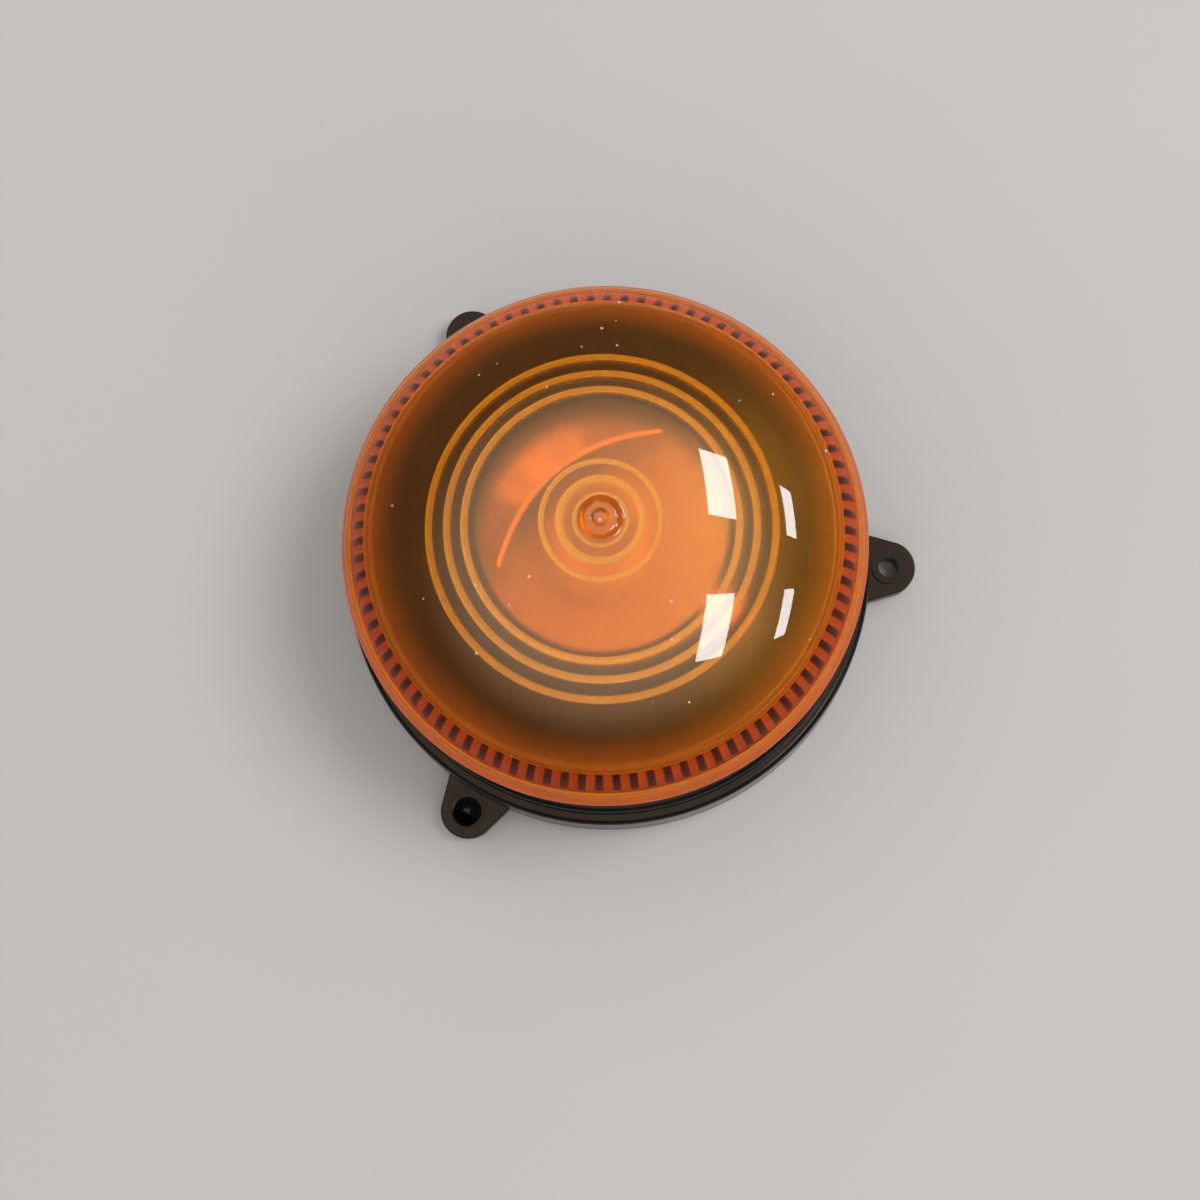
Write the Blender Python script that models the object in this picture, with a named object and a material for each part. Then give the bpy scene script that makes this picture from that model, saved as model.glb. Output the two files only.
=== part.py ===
"""Amber revolving warning light: a screw-on dome lens over a lamp and a turning reflector.

Metres, +Z up. The origin is the centre of the underside, on the light's axis.
Sizes below are millimetres; every mesh is scaled to metres as it is made.
"""
import math

import bmesh
import bpy
from mathutils import Matrix, Vector

MM = 0.001
GAP = 0.3                # clearance between pieces that touch

# lens
SEAT_Z = 50.0            # height of the lens's lower edge
SKIRT_R = 68.0
SKIRT_BORE_R = 64.8
BEAD_R = 66.9
WALL_FOOT_R = 66.0       # foot of the tapered side wall
SHOULDER_R = 61.0
CROWN_RISE = 33.3        # lower edge to the top of the crown
CROWN_RADIUS = 98.0      # sphere that the crown is part of
LENS_WALL = 2.4
PIP_R = 5.3
PIP_RISE = 1.5

# quarter-turn thread between the lens and the base collar
STARTS = 3
LEAD = 7.2               # rise in one full turn
RAMP_SPAN = 70.0
LUG_SPAN = 20.0
THREAD_THICKNESS = 1.2

# base
BASE_R = 72.5
COLLAR_R = 62.0
COLLAR_BORE_R = 59.8
COLLAR_TOP = 54.6
LEDGE_Z = 48.0
SHELF_Z = 42.0
COVER_BORE_R = 68.0
EAR_ANGLES = (-120.0, 0.0, 120.0)
EAR_PITCH_R = 78.0
EAR_R = 7.5
EAR_HOLE_R = 2.75
CHASSIS_SCREW_ANGLES = (30.0, 150.0, 270.0)
CHASSIS_SCREW_R = 53.5
COVER_SCREW_ANGLES = (60.0, 180.0, 300.0)
COVER_SCREW_R = 64.0

# deck and turntable
DECK_Z = SHELF_Z + GAP
DECK_THICKNESS = 2.0
DECK_TOP = DECK_Z + DECK_THICKNESS
MODULE = 1.0
GEAR_TEETH = 64
PINION_TEETH = 10
GEAR_Z = 46.5
GEAR_THICKNESS = 3.5
GEAR_TOP = GEAR_Z + GEAR_THICKNESS
PRESSURE_ANGLE = math.radians(20.0)
TOOTH_SHARE = 0.46       # tooth thickness as a share of the circular pitch
HUB_TOP = 54.0
PIVOT_R = 11.0
PIVOT_BORE_R = 9.5
MOTOR_ANGLE = -30.0
MOTOR_OFFSET = MODULE * (GEAR_TEETH + PINION_TEETH) / 2.0
REFLECTOR_ANGLE = -50.0  # the way the reflector looks
REFLECTOR_FOCUS = 18.5
LIGHT_CENTRE_Z = 63.5

# lamp
SOCKET_R = 9.2
SOCKET_BORE_R = 7.9
SOCKET_TOP = 57.0
SOCKET_FOOT = 30.0
CAP_Z = 41.5
PIN_Z = 51.0
BULB_TURN = 18.0

# board
BOARD_Z = 10.3
BOARD_CENTRE = (-18.0, 4.0)
BOARD_SIZE = (46.0, 30.0)
CABLE_HOLE = (-46.0, 27.0)

ROUND = 42               # sides of the large turned pieces
MEDIUM_ROUND = 26
SMALL_ROUND = 16
SCREW_ROUND = 8


def clear_scene():
    for old in list(bpy.data.objects):
        bpy.data.objects.remove(old, do_unlink=True)


def polar(radius, degrees, z=0.0):
    angle = math.radians(degrees)
    return (radius * math.cos(angle), radius * math.sin(angle), z)


def make_material(name, colour, roughness, metallic=0.0, alpha=1.0):
    material = bpy.data.materials.new(name)
    material.use_nodes = True
    shader = material.node_tree.nodes["Principled BSDF"]
    shader.inputs["Base Color"].default_value = (*colour, 1.0)
    shader.inputs["Roughness"].default_value = roughness
    shader.inputs["Metallic"].default_value = metallic
    shader.inputs["Alpha"].default_value = alpha
    return material


def finish_mesh(name, bm):
    bmesh.ops.remove_doubles(bm, verts=bm.verts, dist=1e-4)
    bmesh.ops.recalc_face_normals(bm, faces=bm.faces)
    bmesh.ops.scale(bm, vec=(MM, MM, MM), verts=bm.verts)
    mesh = bpy.data.meshes.new(name)
    bm.to_mesh(mesh)
    bm.free()
    return mesh


def place(name, mesh, material, parent=None, location=(0.0, 0.0, 0.0)):
    """Add a sub-part; location is in millimetres in its parent's frame."""
    mesh.materials.clear()
    mesh.materials.append(material)
    mesh.shade_smooth()
    mesh.set_sharp_from_angle(angle=math.radians(35.0))
    piece = bpy.data.objects.new(name, mesh)
    bpy.context.scene.collection.objects.link(piece)
    piece.location = Vector(location) * MM
    piece.parent = parent
    return piece


def pivot_empty(name, location, parent=None):
    empty = bpy.data.objects.new(name, None)
    bpy.context.scene.collection.objects.link(empty)
    empty.location = Vector(location) * MM
    empty.parent = parent
    return empty


def boolean(piece, bodies, operation):
    """Join or cut a piece with a hidden tool that holds separate solids."""
    tool_mesh = finish_mesh(piece.name + "_" + operation.lower(), merged(bodies))
    tool = bpy.data.objects.new(tool_mesh.name, tool_mesh)
    bpy.context.scene.collection.objects.link(tool)
    tool.parent = piece.parent
    tool.location = piece.location
    tool.hide_render = True
    tool.display_type = "WIRE"
    modifier = piece.modifiers.new(operation.title(), "BOOLEAN")
    modifier.operation = operation
    modifier.solver = "EXACT"
    modifier.object = tool


def merged(bodies):
    whole = bmesh.new()
    for body in bodies:
        scratch = bpy.data.meshes.new("scratch")
        body.to_mesh(scratch)
        body.free()
        whole.from_mesh(scratch)
        bpy.data.meshes.remove(scratch)
    return whole


def arc(centre_r, centre_z, radius, start, end, steps):
    points = []
    for step in range(steps + 1):
        angle = math.radians(start + (end - start) * step / steps)
        points.append((centre_r + radius * math.cos(angle), centre_z + radius * math.sin(angle)))
    return points


def turned(profile, sides=ROUND, at=(0.0, 0.0)):
    """A closed profile of (radius, height) turned about the vertical line through at."""
    bm = bmesh.new()
    ring = [bm.verts.new((radius, 0.0, z)) for radius, z in profile]
    edges = [bm.edges.new((ring[i], ring[(i + 1) % len(ring)])) for i in range(len(ring))]
    on_axis = [e for e in edges if e.verts[0].co.x == 0.0 and e.verts[1].co.x == 0.0]
    for edge in on_axis:
        bm.edges.remove(edge)
    bmesh.ops.spin(
        bm, geom=bm.verts[:] + bm.edges[:], cent=(0.0, 0.0, 0.0), axis=(0.0, 0.0, 1.0),
        angle=math.tau, steps=sides, use_merge=True)
    bmesh.ops.remove_doubles(bm, verts=bm.verts, dist=1e-4)
    bmesh.ops.translate(bm, vec=(at[0], at[1], 0.0), verts=bm.verts)
    return bm


def rod(radius, low, high, at=(0.0, 0.0), sides=SMALL_ROUND):
    return turned([(0.0, low), (radius, low), (radius, high), (0.0, high)], sides, at)


def tube(bore, radius, low, high, at=(0.0, 0.0), sides=SMALL_ROUND):
    return turned([(bore, low), (radius, low), (radius, high), (bore, high)], sides, at)


def block(size, centre, turn=0.0):
    bm = bmesh.new()
    matrix = Matrix.Rotation(math.radians(turn), 4, "Z") @ Matrix.Translation(centre)
    bmesh.ops.create_cube(bm, size=1.0, matrix=matrix @ Matrix.Diagonal((*size, 1.0)))
    return bm


def swept_sector(bore, radius, low, high, start, span, rise=0.0, steps=12):
    """A ring sector; with a rise it climbs as it turns, as a thread does."""
    bm = bmesh.new()
    sections = []
    for step in range(steps + 1):
        share = step / steps
        angle = math.radians(start + span * share)
        lift = rise * share
        corners = ((bore, low), (radius, low), (radius, high), (bore, high))
        sections.append([
            bm.verts.new((r * math.cos(angle), r * math.sin(angle), z + lift)) for r, z in corners])
    for first, second in zip(sections, sections[1:]):
        for corner in range(4):
            after = (corner + 1) % 4
            bm.faces.new((first[corner], first[after], second[after], second[corner]))
    bm.faces.new(sections[0])
    bm.faces.new(reversed(sections[-1]))
    return bm


def prism(outline, low, high):
    bm = bmesh.new()
    face = bm.faces.new([bm.verts.new((x, y, low)) for x, y in outline])
    extruded = bmesh.ops.extrude_face_region(bm, geom=[face])["geom"]
    top = [item for item in extruded if isinstance(item, bmesh.types.BMVert)]
    bmesh.ops.translate(bm, vec=(0.0, 0.0, high - low), verts=top)
    return bm


def smooth_path(points, steps):
    """Points along a Catmull-Rom curve through the given points."""
    route = [Vector(p) for p in (points[0], *points, points[-1])]
    path = []
    for before, start, end, after in zip(route, route[1:], route[2:], route[3:]):
        for step in range(steps):
            t = step / steps
            path.append(0.5 * (
                2.0 * start + (end - before) * t
                + (2.0 * before - 5.0 * start + 4.0 * end - after) * t ** 2
                + (3.0 * start - before - 3.0 * end + after) * t ** 3))
    path.append(route[-1])
    return path


def wire(name, path, radius, material, parent=None, resolution=1):
    curve = bpy.data.curves.new(name, "CURVE")
    curve.dimensions = "3D"
    curve.bevel_depth = radius * MM
    curve.bevel_resolution = resolution
    curve.use_fill_caps = True
    spline = curve.splines.new("POLY")
    spline.points.add(len(path) - 1)
    for point, position in zip(spline.points, path):
        point.co = (*(Vector(position) * MM), 1.0)
    curve.materials.append(material)
    piece = bpy.data.objects.new(name, curve)
    bpy.context.scene.collection.objects.link(piece)
    piece.parent = parent
    return piece


def screw_mesh(name, head_r, head_height, shank_r, length):
    """A round-headed socket screw standing on z = 0 under its head, shank downwards."""
    socket_r = 0.42 * head_r
    profile = [
        (0.0, -length), (shank_r, -length), (shank_r, 0.0), (head_r, 0.0),
        (head_r, 0.6 * head_height), (0.75 * head_r, head_height), (socket_r, head_height),
        (socket_r, 0.45 * head_height), (0.0, 0.45 * head_height)]
    return finish_mesh(name, turned(profile, SCREW_ROUND))


def crown_z(radius, inset=0.0):
    centre = SEAT_Z + CROWN_RISE - CROWN_RADIUS
    return centre + math.sqrt((CROWN_RADIUS - inset) ** 2 - radius ** 2)


def lens_profile():
    top = crown_z(0.0)
    pip_top = top + PIP_RISE
    outer = [
        (0.0, pip_top - 0.7), (1.2, pip_top - 0.7), (2.2, pip_top), (3.6, pip_top),
        (4.9, top + 0.6), (PIP_R, crown_z(PIP_R))]
    outer += [(r, crown_z(r)) for r in (14.0, 24.0, 34.0, 43.0, 52.0, SHOULDER_R)]
    outer += [
        (SHOULDER_R + 1.6, crown_z(SHOULDER_R) - 1.5), (WALL_FOOT_R, SEAT_Z + 5.8),
        (BEAD_R, SEAT_Z + 5.5), (BEAD_R, SEAT_Z + 4.4), (SKIRT_R, SEAT_Z + 3.6),
        (SKIRT_R, SEAT_Z + 0.4), (SKIRT_R - 0.4, SEAT_Z)]
    inner = [
        (SKIRT_BORE_R, SEAT_Z), (SKIRT_BORE_R, SEAT_Z + 4.4), (63.6, SEAT_Z + 6.0),
        (60.2, SEAT_Z + 10.0)]
    inner += [(r, crown_z(r, LENS_WALL)) for r in (58.4, 50.0, 40.0, 28.0, 14.0, 0.0)]
    return outer + inner


def thread_rise(span):
    return LEAD * span / 360.0


def make_lens(material, axis):
    lens = place("lens_dome", finish_mesh("lens_dome", turned(lens_profile())), material, axis)
    lug_top = SEAT_Z + 1.5
    lugs = [
        swept_sector(
            COLLAR_R + 0.5, SKIRT_BORE_R + 0.6, lug_top - THREAD_THICKNESS, lug_top,
            start * 360.0 / STARTS + 2.0, LUG_SPAN, thread_rise(LUG_SPAN), 5)
        for start in range(STARTS)]
    boolean(lens, lugs, "UNION")


def base_profile():
    outer = [(COLLAR_R - 0.6, COLLAR_TOP), (COLLAR_R, COLLAR_TOP - 0.6), (COLLAR_R, LEDGE_Z)]
    outer += [(67.6, LEDGE_Z), (67.6, 45.4), (66.6, 44.6), (66.4, 23.4)]
    outer += arc(66.5, 21.0, 2.3, 90.0, 0.0, 2)
    outer += [(68.8, 18.6)]
    outer += arc(69.8, 16.4, 2.0, 90.0, 0.0, 2)
    outer += [(BASE_R, 1.0), (BASE_R - 0.6, 0.0)]
    groove = [(71.3, 0.0), (71.3, 1.6), (69.2, 1.6), (69.2, 0.0)]
    inner = [
        (COVER_BORE_R, 0.0), (COVER_BORE_R, 13.0), (64.0, 21.0), (63.8, 37.0), (60.6, 40.0),
        (57.2, 40.0), (57.2, SHELF_Z), (COLLAR_BORE_R, SHELF_Z), (COLLAR_BORE_R, COLLAR_TOP)]
    return outer + groove + inner


def make_base(material):
    base = place("base_housing", finish_mesh("base_housing", turned(base_profile())), material)
    ramp_low = SEAT_Z + 1.9
    additions = [
        swept_sector(
            COLLAR_R - 0.8, SKIRT_BORE_R - 0.6, ramp_low, ramp_low + THREAD_THICKNESS,
            start * 360.0 / STARTS, RAMP_SPAN, thread_rise(RAMP_SPAN), 10)
        for start in range(STARTS)]
    ear_rims = []
    holes = []
    for angle in CHASSIS_SCREW_ANGLES:
        spot = polar(CHASSIS_SCREW_R, angle)[:2]
        additions.append(rod(4.4, 29.0, SHELF_Z - 0.01, spot, 14))
        holes.append(rod(1.8, 30.5, SHELF_Z + 1.0, spot, SCREW_ROUND))
    for angle in COVER_SCREW_ANGLES:
        spot = polar(COVER_SCREW_R, angle)[:2]
        additions.append(rod(4.6, 3.5, 16.0, spot, 14))
        holes.append(rod(1.8, 2.0, 13.5, spot, SCREW_ROUND))
    for angle in EAR_ANGLES:
        spot = polar(EAR_PITCH_R, angle)[:2]
        additions.append(ear(angle))
        ear_rims.append(tube(EAR_HOLE_R - 0.6, 4.6, 5.5, 7.0, spot, 14))
        holes.append(rod(EAR_HOLE_R, -1.0, 8.0, spot, 14))
    boolean(base, additions, "UNION")
    boolean(base, ear_rims, "UNION")
    boolean(base, holes, "DIFFERENCE")


def ear(angle):
    """A mounting ear: a round end on a tongue that runs back into the base wall."""
    root = BASE_R - 1.0
    outline = [(root, -10.0)]
    outline += arc(EAR_PITCH_R, 0.0, EAR_R, -70.0, 70.0, 8)
    outline += [(root, 10.0)]
    bm = prism(outline, 0.0, 6.0)
    bmesh.ops.rotate(
        bm, verts=bm.verts, cent=(0.0, 0.0, 0.0),
        matrix=Matrix.Rotation(math.radians(angle), 3, "Z"))
    return bm


def make_cover(material, rubber, steel):
    cover = place("bottom_cover", finish_mesh("bottom_cover", turned(
        [(0.0, 0.0), (COVER_BORE_R - 0.4, 0.0), (COVER_BORE_R - 0.4, 3.2), (0.0, 3.2)])), material)
    posts = []
    holes = [rod(6.0, -1.0, 5.0, CABLE_HOLE)]
    for side in (-1.0, 1.0):
        spot = (BOARD_CENTRE[0] + side * 19.0, BOARD_CENTRE[1] - side * 11.0)
        posts.append(rod(3.2, 2.5, BOARD_Z - GAP, spot, 16))
        holes.append(rod(1.4, 5.0, BOARD_Z + 1.0, spot, SCREW_ROUND))
    recesses = []
    for angle in COVER_SCREW_ANGLES:
        spot = polar(COVER_SCREW_R, angle)[:2]
        recesses.append(rod(3.3, -1.0, 2.1, spot, 16))
        holes.append(rod(1.9, 1.5, 5.0, spot, SCREW_ROUND))
    boolean(cover, posts, "UNION")
    boolean(cover, recesses, "DIFFERENCE")
    boolean(cover, holes, "DIFFERENCE")
    screw = screw_mesh("cover_screw", 2.9, 1.5, 1.5, 10.0)
    for number, angle in enumerate(COVER_SCREW_ANGLES, 1):
        piece = place(f"cover_screw_{number}", screw, steel, None, polar(COVER_SCREW_R, angle, 1.8))
        piece.rotation_euler = (math.pi, 0.0, 0.0)
    place("mounting_gasket", finish_mesh("mounting_gasket", turned(
        [(69.5, 0.0), (71.0, 0.0), (71.0, 1.3), (69.5, 1.3)])), rubber)
    grommet = [
        (3.2, 0.3), (5.7, 0.3), (5.7, 3.5), (8.0, 3.5), (8.0, 4.9), (6.6, 5.6), (4.4, 8.6), (3.2, 8.6)]
    place("cable_grommet", finish_mesh("cable_grommet", turned(grommet, SMALL_ROUND)), rubber,
          None, (*CABLE_HOLE, 0.0))


def make_deck(material, steel):
    deck = place("chassis_plate", finish_mesh("chassis_plate", turned(
        [(0.0, DECK_Z), (COLLAR_BORE_R - 0.4, DECK_Z), (COLLAR_BORE_R - 0.4, DECK_TOP),
         (0.0, DECK_TOP)])), material)
    motor = polar(MOTOR_OFFSET, MOTOR_ANGLE)[:2]
    bosses = [rod(3.4, 38.3, DECK_Z + 0.5, spot, 16) for spot in bracket_spots()]
    holes = [rod(PIVOT_R + GAP, 30.0, 50.0), rod(3.6, 30.0, 50.0, motor)]
    holes += [rod(1.5, 37.0, 43.6, spot, SCREW_ROUND) for spot in bracket_spots()]
    holes += [rod(1.6, 40.0, 46.0, spot, SCREW_ROUND) for spot in motor_screw_spots()]
    for angle in CHASSIS_SCREW_ANGLES:
        holes.append(rod(1.9, 40.0, 46.0, polar(CHASSIS_SCREW_R, angle)[:2], SCREW_ROUND))
    boolean(deck, bosses, "UNION")
    boolean(deck, holes, "DIFFERENCE")
    screw = screw_mesh("chassis_screw", 3.0, 2.0, 1.5, 13.0)
    for number, angle in enumerate(CHASSIS_SCREW_ANGLES, 1):
        spot = polar(CHASSIS_SCREW_R, angle, DECK_TOP + GAP)
        place(f"chassis_screw_{number}", screw, steel, None, spot)


def bracket_spots():
    return [polar(20.0, MOTOR_ANGLE + 90.0)[:2], polar(20.0, MOTOR_ANGLE - 90.0)[:2]]


def motor_screw_spots():
    centre = Vector(polar(MOTOR_OFFSET, MOTOR_ANGLE)[:2])
    across = Vector(polar(8.0, MOTOR_ANGLE + 90.0)[:2])
    return [tuple(centre + across), tuple(centre - across)]


def involute_angle(radius, base_radius):
    if radius <= base_radius:
        return 0.0
    angle = math.acos(base_radius / radius)
    return math.tan(angle) - angle


def gear_outline(teeth, first_tooth, flank_radii):
    """Outline of an involute spur gear, each flank drawn through the given radii."""
    pitch_r = MODULE * teeth / 2.0
    base_r = pitch_r * math.cos(PRESSURE_ANGLE)
    half_pitch = TOOTH_SHARE * math.pi * MODULE / (2.0 * pitch_r)
    at_pitch = involute_angle(pitch_r, base_r)
    halves = [half_pitch + at_pitch - involute_angle(r, base_r) for r in flank_radii]
    outline = []
    for tooth in range(teeth):
        middle = math.radians(first_tooth) + math.tau * tooth / teeth
        rising = [(r, middle - half) for r, half in zip(flank_radii, halves)]
        falling = [(r, middle + half) for r, half in zip(flank_radii, halves)]
        for radius, angle in rising + falling[::-1]:
            outline.append((radius * math.cos(angle), radius * math.sin(angle)))
    return outline


def make_turntable(nylon, bronze, chrome, steel, axis):
    pitch_r = MODULE * GEAR_TEETH / 2.0
    outline = gear_outline(
        GEAR_TEETH, MOTOR_ANGLE + 180.0 / GEAR_TEETH, (pitch_r - 1.25 * MODULE, pitch_r + MODULE))
    gear = place("turntable_gear", finish_mesh(
        "turntable_gear", prism(outline, GEAR_Z, GEAR_TOP)), nylon, axis)
    boolean(gear, [rod(16.2, 45.7, HUB_TOP, sides=MEDIUM_ROUND)], "UNION")
    screw_spots = [polar(26.0, REFLECTOR_ANGLE + 180.0 + side * 15.0) for side in (-1.0, 1.0)]
    holes = [rod(13.0, 40.0, 60.0, sides=MEDIUM_ROUND)]
    holes += [rod(1.5, 40.0, 60.0, spot[:2], SCREW_ROUND) for spot in screw_spots]
    boolean(gear, holes, "DIFFERENCE")
    place("gear_bush", finish_mesh(
        "gear_bush", tube(PIVOT_R + 0.15, 12.7, 45.7, HUB_TOP, sides=MEDIUM_ROUND)), bronze, axis)
    reflector = place("reflector", reflector_mesh(), chrome, axis)
    foot = swept_sector(
        17.6, 30.5, GEAR_TOP + GAP, GEAR_TOP + 2.1, REFLECTOR_ANGLE + 180.0 - 27.0, 54.0, steps=8)
    boolean(reflector, [foot], "UNION")
    boolean(reflector, [rod(1.6, 45.0, 60.0, spot[:2], SCREW_ROUND) for spot in screw_spots],
            "DIFFERENCE")
    screw = screw_mesh("reflector_screw", 2.4, 1.5, 1.2, 5.4)
    for number, spot in enumerate(screw_spots, 1):
        place(f"reflector_screw_{number}", screw, steel, axis, (*spot[:2], GEAR_TOP + 2.4))


def reflector_mesh():
    """A parabolic mirror whose focus is on the light's axis, cropped top, bottom and sides."""
    columns = 14
    rows = 6
    half_width = 26.0
    low, high = GEAR_TOP + 1.5, 75.0
    thickness = 1.2
    bm = bmesh.new()
    skins = []
    for depth in (0.0, thickness):
        skin = []
        for row in range(rows + 1):
            z = low + (high - low) * row / rows
            line = []
            for column in range(columns + 1):
                x = half_width * (2.0 * column / columns - 1.0)
                reach = (x ** 2 + (z - LIGHT_CENTRE_Z) ** 2) / (4.0 * REFLECTOR_FOCUS)
                line.append(bm.verts.new((reach - REFLECTOR_FOCUS - depth, x, z)))
            skin.append(line)
        skins.append(skin)
    for skin in skins:
        for upper, lower in zip(skin, skin[1:]):
            for column in range(columns):
                bm.faces.new((upper[column], upper[column + 1], lower[column + 1], lower[column]))
    edges = boundary(skins[0])
    others = boundary(skins[1])
    for index in range(len(edges)):
        after = (index + 1) % len(edges)
        bm.faces.new((edges[index], edges[after], others[after], others[index]))
    bmesh.ops.rotate(
        bm, verts=bm.verts, cent=(0.0, 0.0, 0.0),
        matrix=Matrix.Rotation(math.radians(REFLECTOR_ANGLE), 3, "Z"))
    return finish_mesh("reflector", bm)


def boundary(grid):
    right = [line[-1] for line in grid[1:]]
    left = [line[0] for line in reversed(grid[1:-1])]
    return grid[0] + right + grid[-1][-2::-1] + left


def make_pivot(steel, bronze):
    profile = [
        (PIVOT_BORE_R, 40.2), (15.0, 40.2), (15.0, DECK_Z - GAP), (PIVOT_R, DECK_Z - GAP),
        (PIVOT_R, 54.2), (10.3, 54.2), (10.3, 55.4), (PIVOT_R, 55.4), (PIVOT_R, 56.0),
        (PIVOT_BORE_R, 56.0)]
    place("pivot_tube", finish_mesh("pivot_tube", turned(profile, MEDIUM_ROUND)), steel)
    place("thrust_washer", finish_mesh("thrust_washer", tube(
        PIVOT_R + GAP, 16.4, DECK_TOP + GAP, 45.4, sides=MEDIUM_ROUND)), bronze)
    place("retaining_clip", finish_mesh("retaining_clip", swept_sector(
        10.6, 13.6, HUB_TOP + 0.4, 55.2, 20.0, 320.0, steps=24)), steel)


def make_socket(tinned, bakelite, steel, spring_steel, brass, contact_axis):
    socket = place("lamp_socket", finish_mesh("lamp_socket", turned([
        (SOCKET_BORE_R, SOCKET_FOOT), (SOCKET_R, SOCKET_FOOT), (SOCKET_R, 38.3), (12.5, 38.3),
        (12.5, 39.7), (SOCKET_R, 39.7), (SOCKET_R, SOCKET_TOP), (SOCKET_BORE_R, SOCKET_TOP)],
        MEDIUM_ROUND)), tinned)
    for low, high, start, span in (
            (PIN_Z - 2.8, SOCKET_TOP + 2.0, BULB_TURN - 9.0, 18.0),
            (PIN_Z - 2.8, PIN_Z + 1.3, -9.0, 22.0)):
        slots = [swept_sector(6.0, 11.0, low, high, side + start, span, steps=3)
                 for side in (0.0, 180.0)]
        boolean(socket, slots, "DIFFERENCE")
    place("socket_insulator", finish_mesh("socket_insulator", tube(
        2.0, SOCKET_BORE_R - GAP, SOCKET_FOOT + GAP, 33.5)), bakelite)
    bracket = place("lamp_bracket", finish_mesh("lamp_bracket", block(
        (49.0, 20.0, 1.5), (0.0, 0.0, 37.25), MOTOR_ANGLE + 90.0)), steel)
    holes = [rod(SOCKET_R + GAP, 30.0, 45.0)]
    holes += [rod(1.7, 30.0, 45.0, spot, SCREW_ROUND) for spot in bracket_spots()]
    boolean(bracket, holes, "DIFFERENCE")
    screw = screw_mesh("bracket_screw", 2.6, 1.6, 1.2, 6.5)
    for number, spot in enumerate(bracket_spots(), 1):
        piece = place(f"bracket_screw_{number}", screw, steel, None, (*spot, 36.2))
        piece.rotation_euler = (math.pi, 0.0, 0.0)
    head = CAP_Z - GAP
    plunger = [(0.0, 28.0), (1.6, 28.0), (1.6, head - 1.6), (3.6, head - 1.6), (3.6, head), (0.0, head)]
    place("contact_plunger", finish_mesh(
        "contact_plunger", turned(plunger, SMALL_ROUND)), brass, contact_axis)
    turns, steps = 4, 8
    low, high = 34.2, head - 2.3
    coil = []
    for step in range(turns * steps + 1):
        angle = math.tau * step / steps
        coil.append((2.7 * math.cos(angle), 2.7 * math.sin(angle),
                     low + (high - low) * step / (turns * steps)))
    wire("contact_spring", coil, 0.32, spring_steel, contact_axis, 0)


def make_bulb(brass, glass, tungsten, axis):
    cap = place("bulb_cap", finish_mesh("bulb_cap", turned([
        (0.0, CAP_Z), (6.4, CAP_Z), (7.4, CAP_Z + 1.0), (7.4, 56.5), (6.9, 56.5), (6.9, 45.0),
        (0.0, 45.0)], SMALL_ROUND)), brass, axis)
    pins = []
    for side in (-1.0, 1.0):
        pin = rod(0.9, 7.1, 8.8, sides=10)
        bmesh.ops.rotate(pin, verts=pin.verts, cent=(0.0, 0.0, 0.0),
                         matrix=Matrix.Rotation(side * math.pi / 2.0, 3, "Y"))
        bmesh.ops.translate(pin, vec=(0.0, 0.0, PIN_Z), verts=pin.verts)
        pins.append(pin)
    boolean(cap, pins, "UNION")
    globe_r = 9.5
    globe_z = 66.5
    wall = 0.6
    start = -42.0
    outer = [(6.4, 50.0), (6.4, 58.6)]
    outer += arc(0.0, globe_z, globe_r, start, 90.0, 6)
    inner = arc(0.0, globe_z, globe_r - wall, 90.0, start - 2.0, 5)
    inner += [(6.4 - wall, 58.6), (6.4 - wall, 50.0)]
    place("bulb_glass", finish_mesh("bulb_glass", turned(
        clean_axis(outer + inner), SMALL_ROUND)), glass, axis)
    half = 2.6
    path = [(-1.4, 0.0, 46.0), (-1.4, 0.0, 57.0), (-half, 0.0, LIGHT_CENTRE_Z - 1.0)]
    path += [(half * (2.0 * step / 12 - 1.0), 0.35 * math.sin(step * math.pi / 2.0),
              LIGHT_CENTRE_Z + 0.35 * math.cos(step * math.pi / 2.0)) for step in range(1, 12)]
    path += [(half, 0.0, LIGHT_CENTRE_Z - 1.0), (1.4, 0.0, 57.0), (1.4, 0.0, 46.0)]
    wire("bulb_filament", path, 0.16, tungsten, axis, 0)


def clean_axis(profile):
    """Points within a hair of the axis are put on it."""
    return [(0.0 if abs(radius) < 1e-6 else radius, z) for radius, z in profile]


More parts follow.
